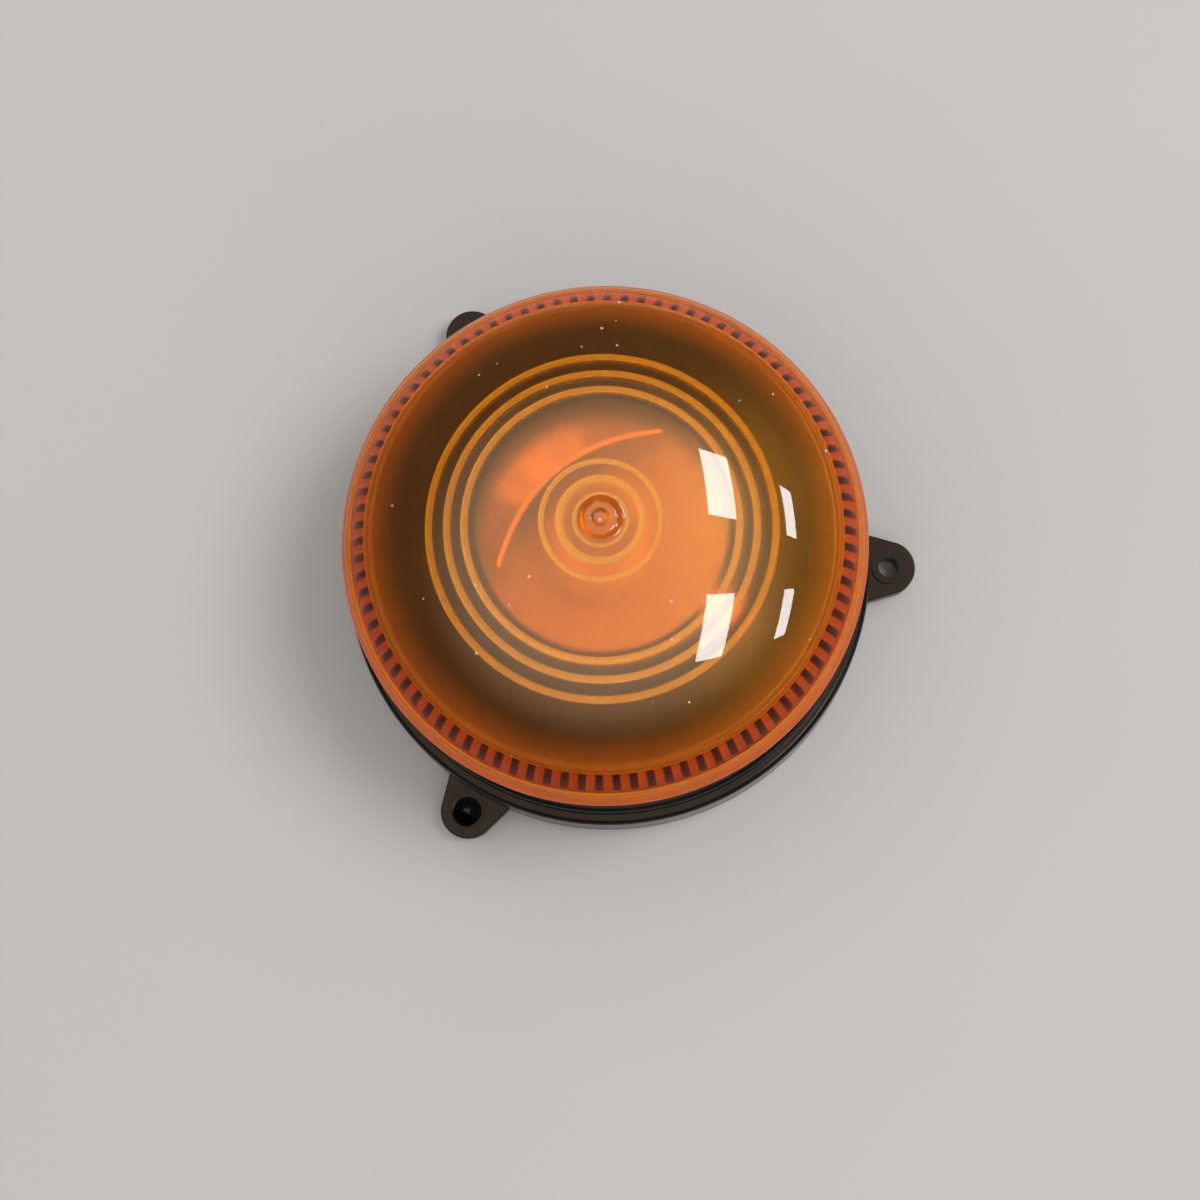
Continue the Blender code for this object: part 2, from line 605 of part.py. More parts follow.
def make_motor(steel, plastic, bright, brass, blackened, axis):
    centre = polar(MOTOR_OFFSET, MOTOR_ANGLE)
    can = [
        (0.0, 16.0), (11.4, 16.0), (12.2, 16.8), (12.2, 41.2), (11.4, 42.0), (3.2, 42.0),
        (3.2, 43.8), (1.3, 43.8), (1.3, 29.0), (0.0, 29.0)]
    body = place("motor_can", finish_mesh("motor_can", turned(can, MEDIUM_ROUND)), steel, None, centre)
    threads = [rod(1.5, 36.0, 43.0, (x - centre[0], y - centre[1]), SCREW_ROUND)
               for x, y in motor_screw_spots()]
    boolean(body, threads, "DIFFERENCE")
    cap = place("motor_end_cap", finish_mesh(
        "motor_end_cap", rod(11.0, 13.6, 15.7, sides=MEDIUM_ROUND)), plastic, None, centre)
    boolean(cap, [block((0.8, 2.4, 4.0), (side * 8.0, 0.0, 12.6)) for side in (-1.0, 1.0)], "UNION")
    place("motor_shaft", finish_mesh("motor_shaft", rod(1.0, 29.3, 51.6)), bright, axis)
    pitch_r = MODULE * PINION_TEETH / 2.0
    radii = (pitch_r - 1.25 * MODULE, pitch_r - 0.3, pitch_r + 0.4, pitch_r + MODULE)
    outline = gear_outline(PINION_TEETH, MOTOR_ANGLE + 180.0, radii)
    pinion = place("drive_pinion", finish_mesh(
        "drive_pinion", prism(outline, 45.8, 50.6)), brass, axis)
    boolean(pinion, [rod(1.3, 40.0, 60.0, sides=SCREW_ROUND)], "DIFFERENCE")
    screw = screw_mesh("motor_screw", 2.3, 1.4, 1.2, 6.0)
    for number, spot in enumerate(motor_screw_spots(), 1):
        place(f"motor_screw_{number}", screw, blackened, None, (*spot, DECK_TOP + GAP))


def make_board(laminate, green, steel, can, winding, red, black):
    centre = (BOARD_CENTRE[0], BOARD_CENTRE[1])
    top = BOARD_Z + 1.6
    board = place("circuit_board", finish_mesh("circuit_board", block(
        (*BOARD_SIZE, 1.6), (*centre, BOARD_Z + 0.8))), laminate)
    spots = [(centre[0] + side * 19.0, centre[1] - side * 11.0) for side in (-1.0, 1.0)]
    boolean(board, [rod(1.5, 5.0, 20.0, spot, SCREW_ROUND) for spot in spots], "DIFFERENCE")
    screw = screw_mesh("board_screw", 2.3, 1.4, 1.1, 5.0)
    for number, spot in enumerate(spots, 1):
        place(f"board_screw_{number}", screw, steel, None, (*spot, top + GAP))
    terminal = place("terminal_block", finish_mesh("terminal_block", block(
        (8.0, 11.0, 9.0), (-34.0, -1.0, top + GAP + 4.5))), green)
    wells = []
    for side in (-1.0, 1.0):
        wells.append(rod(1.9, top + 6.0, 30.0, (-34.0, -1.0 + 2.6 * side), SCREW_ROUND))
        wells.append(block((5.0, 3.0, 3.2), (-38.6, -1.0 + 2.6 * side, top + 3.2)))
    boolean(terminal, wells, "DIFFERENCE")
    driver = screw_mesh("terminal_screw", 1.5, 1.4, 0.9, 1.0)
    for number, side in enumerate((-1.0, 1.0), 1):
        place(f"terminal_screw_{number}", driver, steel, None, (-34.0, -1.0 + 2.6 * side, top + 7.4))
    place("capacitor", finish_mesh("capacitor", turned([
        (0.0, top + GAP), (4.0, top + GAP), (4.0, top + 11.0), (3.5, top + 11.5),
        (0.0, top + 11.5)], SMALL_ROUND)), can, None, (-20.0, 12.0, 0.0))
    choke = tube(3.0, 6.5, top + GAP, top + 5.0)
    place("choke", finish_mesh("choke", choke), winding, None, (-12.0, -3.0, 0.0))
    motor = polar(MOTOR_OFFSET, MOTOR_ANGLE)
    wire("motor_lead_red", smooth_path([
        (2.5, 12.0, top + 0.5), (3.0, 11.5, top + 4.0), (12.0, 0.0, 11.5),
        (20.0, -12.0, 9.0), (motor[0] - 9.6, motor[1], 11.4)], 3), 0.8, red)
    wire("motor_lead_black", smooth_path([
        (2.5, 4.0, top + 0.5), (4.0, 3.0, top + 3.0), (14.0, -10.0, 8.0),
        (26.0, -28.0, 6.5), (motor[0] + 9.0, motor[1] - 5.0, 7.5),
        (motor[0] + 9.6, motor[1], 11.4)], 3), 0.8, black)
    wire("lamp_lead", smooth_path([
        (-5.0, 14.0, top + 0.5), (-5.0, 13.5, top + 4.0), (-5.0, 6.0, 20.5),
        (-3.4, 0.6, 25.0), (-2.8, 0.0, 29.2)], 3), 0.8, red)


def main():
    clear_scene()
    amber = make_material("amber_lens", (0.86, 0.25, 0.01), 0.06, alpha=0.5)
    gloss_black = make_material("gloss_black_base", (0.012, 0.012, 0.013), 0.18)
    deck_black = make_material("black_deck", (0.03, 0.028, 0.026), 0.5)
    cover_black = make_material("cover_black", (0.02, 0.02, 0.02), 0.45)
    rubber = make_material("black_rubber", (0.02, 0.02, 0.02), 0.8)
    zinc = make_material("zinc_steel", (0.62, 0.62, 0.6), 0.35, 1.0)
    bright = make_material("bright_steel", (0.7, 0.7, 0.7), 0.2, 1.0)
    spring_steel = make_material("spring_steel", (0.45, 0.45, 0.47), 0.3, 1.0)
    blackened = make_material("blackened_steel", (0.03, 0.03, 0.032), 0.45, 1.0)
    bronze = make_material("bronze_bush", (0.55, 0.36, 0.16), 0.4, 1.0)
    brass = make_material("brass", (0.78, 0.57, 0.22), 0.3, 1.0)
    nylon = make_material("natural_nylon", (0.86, 0.84, 0.76), 0.45)
    chrome = make_material("mirror_reflector", (0.92, 0.92, 0.93), 0.05, 1.0)
    bakelite = make_material("bakelite", (0.12, 0.05, 0.025), 0.4)
    glass = make_material("clear_glass", (0.95, 0.96, 0.96), 0.02, alpha=0.3)
    tungsten = make_material("tungsten", (0.3, 0.3, 0.3), 0.4, 1.0)
    laminate = make_material("board_laminate", (0.05, 0.2, 0.08), 0.4)
    green = make_material("terminal_green", (0.05, 0.4, 0.15), 0.4)
    sleeve = make_material("capacitor_sleeve", (0.02, 0.03, 0.12), 0.35)
    copper = make_material("copper_winding", (0.7, 0.3, 0.14), 0.35, 1.0)
    red = make_material("red_insulation", (0.5, 0.02, 0.02), 0.45)
    black = make_material("black_insulation", (0.015, 0.015, 0.015), 0.45)

    lens_axis = pivot_empty("lens_axis", (0.0, 0.0, 0.0))
    turntable_axis = pivot_empty("turntable_axis", (0.0, 0.0, 0.0))
    motor_axis = pivot_empty("motor_axis", polar(MOTOR_OFFSET, MOTOR_ANGLE))
    contact_axis = pivot_empty("contact_axis", (0.0, 0.0, 0.0))
    bulb_axis = pivot_empty("bulb_axis", (0.0, 0.0, 0.0), contact_axis)

    make_lens(amber, lens_axis)
    place("lens_seal", finish_mesh("lens_seal", turned(
        [(64.6, 48.3), (67.4, 48.3), (67.4, 49.7), (64.6, 49.7)])), rubber)
    make_base(gloss_black)
    make_cover(cover_black, rubber, zinc)
    make_deck(deck_black, blackened)
    make_pivot(bright, bronze)
    make_turntable(nylon, bronze, chrome, zinc, turntable_axis)
    make_socket(bright, bakelite, zinc, spring_steel, brass, contact_axis)
    make_bulb(brass, glass, tungsten, bulb_axis)
    make_motor(zinc, black, bright, brass, blackened, motor_axis)
    make_board(laminate, green, zinc, sleeve, copper, red, black)


main()
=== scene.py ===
"""Looks of the amber revolving warning light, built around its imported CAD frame.

Lengths are millimetres, and meshes are scaled to metres when made. Only the stage section is in metres.
The light's axis is world Z and its underside is at z = 0.
"""
import math

import bmesh
import bpy
from mathutils import Matrix, Vector

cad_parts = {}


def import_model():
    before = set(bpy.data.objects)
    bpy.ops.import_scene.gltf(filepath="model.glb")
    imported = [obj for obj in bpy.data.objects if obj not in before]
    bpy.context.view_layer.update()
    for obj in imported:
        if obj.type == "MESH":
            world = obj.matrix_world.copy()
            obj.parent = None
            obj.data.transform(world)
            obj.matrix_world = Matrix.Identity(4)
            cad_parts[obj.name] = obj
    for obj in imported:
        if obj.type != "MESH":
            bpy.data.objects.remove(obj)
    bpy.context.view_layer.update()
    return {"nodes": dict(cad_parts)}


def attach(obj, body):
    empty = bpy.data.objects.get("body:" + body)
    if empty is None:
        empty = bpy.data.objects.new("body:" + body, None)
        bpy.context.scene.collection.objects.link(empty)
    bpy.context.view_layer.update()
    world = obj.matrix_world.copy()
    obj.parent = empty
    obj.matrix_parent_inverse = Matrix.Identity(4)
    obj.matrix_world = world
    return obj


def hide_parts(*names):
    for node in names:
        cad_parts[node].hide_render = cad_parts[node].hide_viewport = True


MM = 0.001

# lens
CROWN_TOP = 83.3
CROWN_RADIUS = 98.0
LENS_WALL = 2.4
SHOULDER_R = 61.0
CROWN_EDGE_R = 56.5      # where the inner face bends down towards the wall
CROWN_STEP = 2.2         # between the rings of points along the crown
FLUTES = 90
FLUTE_STEPS = 6          # sides that each flute is made of
FLUTE_SHARE = 0.35       # share of a flute's depth that stands out from the wall's face
FLUTE_BANDS = (          # foot, top, run-in, run-out and depth of the low and the tall flutes
    (50.9, 54.2, 1.1, 1.0, 0.6), (54.5, 60.0, 1.0, 1.2, 0.8))
RINGS = (                # radius, width and height of the ribs moulded inside the crown
    (42.7, 1.8, 0.75), (38.0, 1.8, 0.75), (33.6, 1.8, 0.75),
    (14.5, 1.4, 0.4), (10.1, 2.0, 0.6), (6.3, 1.1, 0.35))
RING_STEPS = 8
LUG_SPAN = 20.0
LUG_RISE = 0.4

# lamp and mirror
LIGHT_CENTRE_Z = 63.5
GLOBE_Z = 66.5
GLOBE_R = 9.5
GLOBE_WALL = 0.6
GLOBE_NECK_R = 6.4
GLOBE_NECK_FOOT = 50.0
GLOBE_NECK_TOP = 58.0
GLOBE_ROUND = 96
MIRROR_ANGLE = -50.0
MIRROR_FOCUS = 18.5
MIRROR_HALF = 26.0
MIRROR_LOW = 51.5
MIRROR_HIGH = 75.0
MIRROR_THICKNESS = 1.2
MIRROR_COLUMNS = 60
MIRROR_ROWS = 28
FOOT_SPAN = 54.0         # the mirror's screwed foot, a ring sector behind it
FOOT_SCREW_R = 26.0
FOOT_SCREW_TURN = 15.0
FOOT_HOLE_R = 1.6

# base
EAR_ANGLES = (-120.0, 0.0, 120.0)
EAR_PITCH_R = 78.0
EAR_R = 7.5
EAR_HOLE_R = 2.75
CHASSIS_SCREW_ANGLES = (30.0, 150.0, 270.0)
CHASSIS_SCREW_R = 53.5
COVER_SCREW_ANGLES = (60.0, 180.0, 300.0)
COVER_SCREW_R = 64.0
PILOT_R = 1.8            # screw holes in the posts
RAMP_SPAN = 70.0
RAMP_RISE = 1.4
BASE_ROUND = 300


# ---------------------------------------------------------------- node helpers

class Nodes:
    """A material's node tree with short ways to add and link nodes."""

    def __init__(self, name):
        self.material = bpy.data.materials.new(name)
        self.material.use_nodes = True
        self.tree = self.material.node_tree
        self.tree.nodes.clear()
        self.output = self.tree.nodes.new("ShaderNodeOutputMaterial")
        self.position = self.add("ShaderNodeTexCoord").outputs["Object"]

    def add(self, kind, inputs=None, **settings):
        node = self.tree.nodes.new(kind)
        for key, value in settings.items():
            setattr(node, key, value)
        for key, value in (inputs or {}).items():
            socket = node.inputs[key]
            if isinstance(value, bpy.types.NodeSocket):
                self.tree.links.new(value, socket)
            else:
                socket.default_value = value
        return node

    def noise(self, scale, detail=3.0, roughness=0.55, vector=None):
        return self.add("ShaderNodeTexNoise", {
            "Vector": vector or self.position, "Scale": scale, "Detail": detail,
            "Roughness": roughness}).outputs["Fac"]

    def remap(self, value, low, high, start=0.3, end=0.7):
        return self.add("ShaderNodeMapRange", {
            "Value": value, "From Min": start, "From Max": end, "To Min": low,
            "To Max": high}).outputs["Result"]

    def mix_colour(self, factor, first, second):
        return self.add("ShaderNodeMix", {
            0: factor, 6: first, 7: second}, data_type="RGBA").outputs[2]

    def maths(self, operation, first, second=0.0, third=0.0):
        return self.add("ShaderNodeMath", {0: first, 1: second, 2: third},
                        operation=operation).outputs[0]

    def smooth(self, value, start, end, low=0.0, high=1.0):
        return self.add("ShaderNodeMapRange", {
            "Value": value, "From Min": start, "From Max": end, "To Min": low, "To Max": high},
            interpolation_type="SMOOTHSTEP").outputs["Result"]

    def axes(self):
        return list(self.add("ShaderNodeSeparateXYZ", {0: self.position}).outputs)

    def bump(self, height, strength, distance_mm):
        return self.add("ShaderNodeBump", {
            "Height": height, "Strength": strength, "Distance": distance_mm * MM}).outputs["Normal"]

    def principled(self, inputs):
        return self.add("ShaderNodeBsdfPrincipled", inputs)

    def finish(self, shader):
        self.tree.links.new(shader, self.output.inputs["Surface"])
        return self.material


def rgb(red, green, blue):
    return (red, green, blue, 1.0)


def scaled(colour, factor):
    return rgb(*(min(1.0, channel * factor) for channel in colour[:3]))


def plain_surface(name, colour, roughness, metallic=0.0, mottle=0.18, mottle_scale=90.0,
                  grain=0.12, grain_scale=2600.0, extra=None):
    """A moulded or machined surface: mottled colour, uneven gloss and fine grain."""
    n = Nodes(name)
    mottled = n.mix_colour(
        n.remap(n.noise(mottle_scale, 4.0), 0.0, 1.0),
        scaled(colour, 1.0 - mottle), scaled(colour, 1.0 + mottle))
    gloss = n.remap(n.noise(mottle_scale * 3.0, 5.0), roughness * 0.75, roughness * 1.3)
    inputs = {
        "Base Color": mottled, "Roughness": gloss, "Metallic": metallic,
        "Normal": n.bump(n.noise(grain_scale, 2.0), grain, 0.05)}
    inputs.update(extra or {})
    return n.finish(n.principled(inputs).outputs["BSDF"])


def brushed_metal(name, colour, roughness, along=(1.0, 1.0, 30.0)):
    """Machined metal whose fine lines run round the axis."""
    n = Nodes(name)
    stretched = n.add("ShaderNodeMapping", {"Vector": n.position, "Scale": along}).outputs["Vector"]
    lines = n.noise(160.0, 4.0, 0.7, stretched)
    tint = n.mix_colour(n.remap(n.noise(70.0), 0.0, 1.0), scaled(colour, 0.82), scaled(colour, 1.08))
    shader = n.principled({
        "Base Color": tint, "Metallic": 1.0,
        "Roughness": n.remap(lines, roughness * 0.7, roughness * 1.4),
        "Normal": n.bump(lines, 0.15, 0.03)})
    return n.finish(shader.outputs["BSDF"])


def lit_through(n, glass, tint):
    """Glass that the studio lamps shine through: shadow rays only take its tint."""
    clear = n.add("ShaderNodeBsdfTransparent", {"Color": tint})
    path = n.add("ShaderNodeLightPath")
    return n.add("ShaderNodeMixShader", {
        0: path.outputs["Is Shadow Ray"], 1: glass.outputs[0],
        2: clear.outputs["BSDF"]}).outputs["Shader"]


# ---------------------------------------------------------------- materials

RADIAL = "radial"        # clear in the middle of the crown, hazy towards its edge
DUSTY = "dusty"          # clear but for specks of dust
DUST_SCALE = 230.0
DUST_CHANCE = 0.55       # share of the cells that hold no speck
DUST_SIZE = 0.09         # of the largest speck, as a share of its cell
DUST = rgb(0.85, 0.80, 0.72)
HAZE_START = 50.0        # the haze begins at this radius
HAZE_END = 62.0
CLEAR_MIDDLE = 1.0
CLEAR_RIM = 0.72

AMBER = rgb(0.87, 0.385, 0.035)          # tint of the crown
AMBER_SIDE = rgb(0.90, 0.28, 0.010)      # deeper, for the side wall is seen along its length
AMBER_SKIRT = rgb(0.95, 0.27, 0.012)
AMBER_IOR = 1.55
SIDE_IOR = 1.22          # under the plastic's own, so the steep thin walls don't glare
TALL_GROOVES = (54.6, 55.2, 59.8, 60.6)  # heights between which the clear grooves, with their painted shade, fade in and out
LOW_GROOVES = (50.9, 51.6, 53.2, 54.0)


def add_dust(n, tint):
    """Sparse pale specks of dust: returns the dusted colour and how clear each point stays."""
    cells = n.add("ShaderNodeTexVoronoi", {"Vector": n.position, "Scale": DUST_SCALE})
    chance = n.add("ShaderNodeSeparateXYZ", {0: cells.outputs["Color"]}).outputs["X"]
    size = n.maths("MULTIPLY", n.smooth(chance, DUST_CHANCE, 1.0), DUST_SIZE)
    speck = n.maths("LESS_THAN", cells.outputs["Distance"], size)
    return n.mix_colour(speck, tint, DUST), n.maths("SUBTRACT", 1.0, speck)


def amber_glass(name, colour, roughness, wave, wave_scale, clear=1.0, ior=AMBER_IOR):
    """Amber polycarbonate: streaks of flow in the colour and a faint waviness.

    clear is the share of light let through, or RADIAL or DUSTY.
    """
    n = Nodes(name)
    streaks = n.remap(n.noise(45.0, 4.0, 0.6), 0.0, 1.0)
    tint = n.mix_colour(streaks, scaled(colour, 0.94), scaled(colour, 1.05))
    if clear is RADIAL:
        x, y = n.axes()[:2]
        radius = n.maths("SQRT", n.maths("MULTIPLY_ADD", x, x, n.maths("MULTIPLY", y, y)))
        clear = n.smooth(radius, HAZE_START * MM, HAZE_END * MM, CLEAR_MIDDLE, CLEAR_RIM)
    elif clear is DUSTY:
        tint, clear = add_dust(n, tint)
    glass = n.principled({
        "Base Color": tint, "Roughness": roughness, "IOR": ior, "Transmission Weight": clear,
        "Normal": n.bump(n.noise(wave_scale, 2.0), wave, 0.05)})
    face = rgb(*(math.sqrt(channel) for channel in colour[:3]))
    return n.finish(lit_through(n, glass, face))


def amber_rib_painted_glow(name, dark, pale, through):
    """Moulded ribs and edges of the lens, tinted paler than the amber as painted glow for the light
    they gather, so they show bright.
    """
    n = Nodes(name)
    # painted glow: the tint runs between two colours that are both paler than the amber
    tint = n.mix_colour(n.remap(n.noise(400.0, 3.0), 0.0, 1.0), dark, pale)
    glass = n.principled({
        "Base Color": tint, "Roughness": 0.2, "IOR": SIDE_IOR, "Transmission Weight": 0.3,
        "Normal": n.bump(n.noise(900.0, 2.0), 0.1, 0.05)})
    glow = n.add("ShaderNodeBsdfTranslucent", {"Color": tint})
    mixed = n.add("ShaderNodeMixShader", {
        0: through, 1: glass.outputs["BSDF"], 2: glow.outputs["BSDF"]})
    return n.finish(mixed.outputs["Shader"])


def fluted_wall_painted_light():
    """The inside of the fluted side: ridges tinted pale as painted glow, and clear grooves tinted dark
    as painted shade, softly parted.
    """
    n = Nodes("amber_flutes_painted_light")
    x, y, z = n.axes()
    phase = n.maths("SINE", n.maths("MULTIPLY", n.maths("ARCTAN2", y, x), float(FLUTES)))
    groove = n.smooth(phase, -0.45, 0.75)

    def band(foot, lower, upper, top):
        rising = n.smooth(z, foot * MM, lower * MM)
        return n.maths("MULTIPLY", rising, n.smooth(z, top * MM, upper * MM))

    grooved = n.maths("MAXIMUM", band(*TALL_GROOVES), band(*LOW_GROOVES))
    clear = n.maths("MULTIPLY", groove, grooved)
    uneven = n.remap(n.noise(300.0, 3.0), 0.0, 1.0)
    # painted glow: the ridges take pale tints, brighter than the amber, as if lit through the wall
    pale = n.mix_colour(uneven, rgb(0.85, 0.27, 0.004), rgb(0.95, 0.42, 0.012))
    # painted shade: the grooves take a dark tint
    tint = n.mix_colour(clear, pale, rgb(0.50, 0.13, 0.006))
    glass = n.principled({
        "Base Color": tint, "Roughness": 0.15, "IOR": SIDE_IOR,
        "Transmission Weight": n.maths("MULTIPLY_ADD", clear, 0.3, 0.68),
        "Normal": n.bump(n.noise(600.0, 2.0), 0.15, 0.05)})
    # the ridges' translucent glow takes the same painted pale tint
    glow = n.add("ShaderNodeBsdfTranslucent", {"Color": pale})
    mixed = n.add("ShaderNodeMixShader", {
        0: n.maths("MULTIPLY_ADD", clear, -0.14, 0.17), 1: glass.outputs["BSDF"],
        2: glow.outputs["BSDF"]})
    face = rgb(*(math.sqrt(channel) for channel in AMBER_SIDE[:3]))
    return n.finish(lit_through(n, mixed, face))


def gloss_black():
    """Glossy black ABS with dust specks, and fine hairlines in its gloss."""
    n = Nodes("base_black_gloss")
    haze = n.noise(55.0, 5.0)
    fine = n.noise(900.0, 3.0)
    stretched = n.add("ShaderNodeMapping", {
        "Vector": n.position, "Scale": (1.0, 1.0, 14.0)}).outputs["Vector"]
    hairs = n.noise(420.0, 6.0, 0.75, stretched)
    specks = n.add("ShaderNodeTexVoronoi", {"Vector": n.position, "Scale": 520.0}).outputs["Distance"]
    dust = n.remap(specks, 1.0, 0.0, 0.02, 0.07)
    tone = n.mix_colour(n.remap(haze, 0.0, 1.0), rgb(0.005, 0.005, 0.006), rgb(0.011, 0.011, 0.012))
    dusty = n.mix_colour(n.remap(dust, 0.0, 0.25, 0.0, 1.0), tone, rgb(0.25, 0.24, 0.22))
    shader = n.principled({
        "Base Color": dusty, "Roughness": n.remap(hairs, 0.10, 0.30, 0.25, 0.8),
        "Specular IOR Level": 0.14,
        "Normal": n.bump(fine, 0.06, 0.05)})
    return n.finish(shader.outputs["BSDF"])


def rubber():
    return plain_surface("black_rubber_fine", rgb(0.018, 0.018, 0.018), 0.62, mottle=0.3,
                         grain=0.35, grain_scale=1900.0)


def clear_glass():
    """Thin lamp glass with faint drawn streaks."""
    n = Nodes("lamp_glass")
    streaks = n.noise(120.0, 3.0)
    tint = n.mix_colour(n.remap(streaks, 0.0, 1.0), rgb(0.93, 0.95, 0.94), rgb(0.98, 0.98, 0.97))
    glass = n.principled({
        "Base Color": tint, "Roughness": 0.02, "IOR": 1.5, "Transmission Weight": 1.0,
        "Normal": n.bump(streaks, 0.05, 0.05)})
    return n.finish(lit_through(n, glass, rgb(0.97, 0.98, 0.97)))


def make_materials():
    return {
        "amber_out": amber_glass("amber_lens_outer", AMBER, 0.02, 0.03, 60.0, DUSTY),
        "amber_in": amber_glass("amber_lens_inner", AMBER, 0.37, 0.25, 700.0, RADIAL),
        "amber_wall_painted_light": fluted_wall_painted_light(),
        "amber_side": amber_glass("amber_lens_side", AMBER_SIDE, 0.03, 0.05, 90.0, 1.0, SIDE_IOR),
        "amber_skirt": amber_glass("amber_lens_skirt", AMBER_SKIRT, 0.04, 0.05, 90.0, 0.55, SIDE_IOR),
        # painted glow: the ribs and the bead take pale tints, brighter than the amber, so they show
        # bright
        "amber_rib_painted_glow": amber_rib_painted_glow("amber_rib_painted_glow", rgb(1.0, 0.84, 0.24), rgb(1.0, 0.96, 0.38), 0.45),
        "amber_edge_painted_glow": amber_rib_painted_glow("amber_edge_painted_glow", rgb(1.0, 0.42, 0.04), rgb(1.0, 0.52, 0.08), 0.45),
        "black": gloss_black(),
        "rubber": rubber(),
        "deck": plain_surface("deck_satin", rgb(0.007, 0.006, 0.006), 0.6, mottle=0.3,
                              extra={"Specular IOR Level": 0.12}),
        "cover": plain_surface("cover_satin", rgb(0.016, 0.016, 0.016), 0.42, mottle=0.25),
        "zinc": brushed_metal("zinc_plate", rgb(0.60, 0.60, 0.57), 0.32),
        "blackened": plain_surface("black_oxide", rgb(0.03, 0.03, 0.032), 0.45, 0.9, mottle=0.3),
        "bright": brushed_metal("nickel_plate", rgb(0.68, 0.67, 0.64), 0.2),
        "spring": brushed_metal("spring_wire", rgb(0.42, 0.42, 0.44), 0.28),
        "bronze": brushed_metal("sintered_bronze", rgb(0.50, 0.33, 0.15), 0.42),
        "brass": brushed_metal("turned_brass", rgb(0.55, 0.39, 0.15), 0.36),
        "nylon": plain_surface("natural_nylon_fine", rgb(0.41, 0.37, 0.30), 0.42, mottle=0.05,
                               extra={"Subsurface Weight": 0.25, "Subsurface Radius": (
                                   1.0, 0.8, 0.5), "Subsurface Scale": 0.001}),
        "mirror": plain_surface("metallised_mirror", rgb(0.55, 0.55, 0.56), 0.16, 1.0,
                                mottle=0.03, grain=0.04, grain_scale=160.0),
        "bakelite": plain_surface("phenolic_brown", rgb(0.10, 0.045, 0.022), 0.36, mottle=0.35,
                                  mottle_scale=420.0),
        "glass": clear_glass(),
        "tungsten": brushed_metal("tungsten_wire", rgb(0.28, 0.28, 0.28), 0.4),
        "laminate": plain_surface("board_green", rgb(0.03, 0.15, 0.055), 0.34, mottle=0.3,
                                  mottle_scale=260.0),
        "terminal": plain_surface("terminal_green_fine", rgb(0.04, 0.34, 0.12), 0.38),
        "sleeve": plain_surface("sleeve_blue", rgb(0.02, 0.03, 0.11), 0.3, mottle=0.25),
        "copper": brushed_metal("enamelled_copper", rgb(0.66, 0.26, 0.11), 0.3, (1.0, 1.0, 40.0)),
        "red": plain_surface("red_insulation_fine", rgb(0.45, 0.02, 0.018), 0.42),
        "black_wire": plain_surface("black_insulation_fine", rgb(0.014, 0.014, 0.014), 0.42),
    }


NODE_MATERIALS = {
    "deck": ("chassis_plate", "motor_end_cap"),
    "cover": ("bottom_cover",),
    "rubber": ("mounting_gasket", "lens_seal", "cable_grommet"),
    "zinc": ("motor_can", "lamp_bracket", "cover_screw_1", "cover_screw_2", "cover_screw_3",
             "bracket_screw_1", "bracket_screw_2", "board_screw_1", "board_screw_2",
             "terminal_screw_1", "terminal_screw_2", "reflector_screw_1", "reflector_screw_2"),
    "blackened": ("chassis_screw_1", "chassis_screw_2", "chassis_screw_3", "motor_screw_1",
                  "motor_screw_2"),
    "bright": ("motor_shaft", "pivot_tube", "lamp_socket"),
    "spring": ("retaining_clip", "contact_spring"),
    "bronze": ("thrust_washer", "gear_bush"),
    "brass": ("drive_pinion", "contact_plunger", "bulb_cap"),
    "nylon": ("turntable_gear",),
    "bakelite": ("socket_insulator",),
    "tungsten": ("bulb_filament",),
    "laminate": ("circuit_board",),
    "terminal": ("terminal_block",),
    "sleeve": ("capacitor",),
    "copper": ("choke",),
    "red": ("motor_lead_red", "lamp_lead"),
    "black_wire": ("motor_lead_black",),
}


def dress_nodes(frame, materials):
    """Gives every CAD node that stays in view its fine material."""
    for key, names in NODE_MATERIALS.items():
        for name in names:
            for holder in frame["nodes"][name].material_slots:
                holder.material = materials[key]


# ---------------------------------------------------------------- mesh helpers

def fillet(profile, radius, steps=3):
    """Rounds every corner of an open line of (r, z) points."""
    line = [Vector(p) for p in profile]
    out = [line[0]]
    for before, corner, after in zip(line, line[1:], line[2:]):
        reach_in = min(radius, (corner - before).length * 0.45)
        reach_out = min(radius, (after - corner).length * 0.45)
        start = corner + (before - corner).normalized() * reach_in
        end = corner + (after - corner).normalized() * reach_out
        for step in range(steps + 1):
            t = step / steps
            out.append(start * (1 - t) ** 2 + corner * 2 * t * (1 - t) + end * t ** 2)
    out.append(line[-1])
    return [tuple(p) for p in out]


def arc(centre_r, centre_z, radius, start, end, steps):
    points = []
    for step in range(steps + 1):
        angle = math.radians(start + (end - start) * step / steps)
        points.append((centre_r + radius * math.cos(angle), centre_z + radius * math.sin(angle)))
    return points


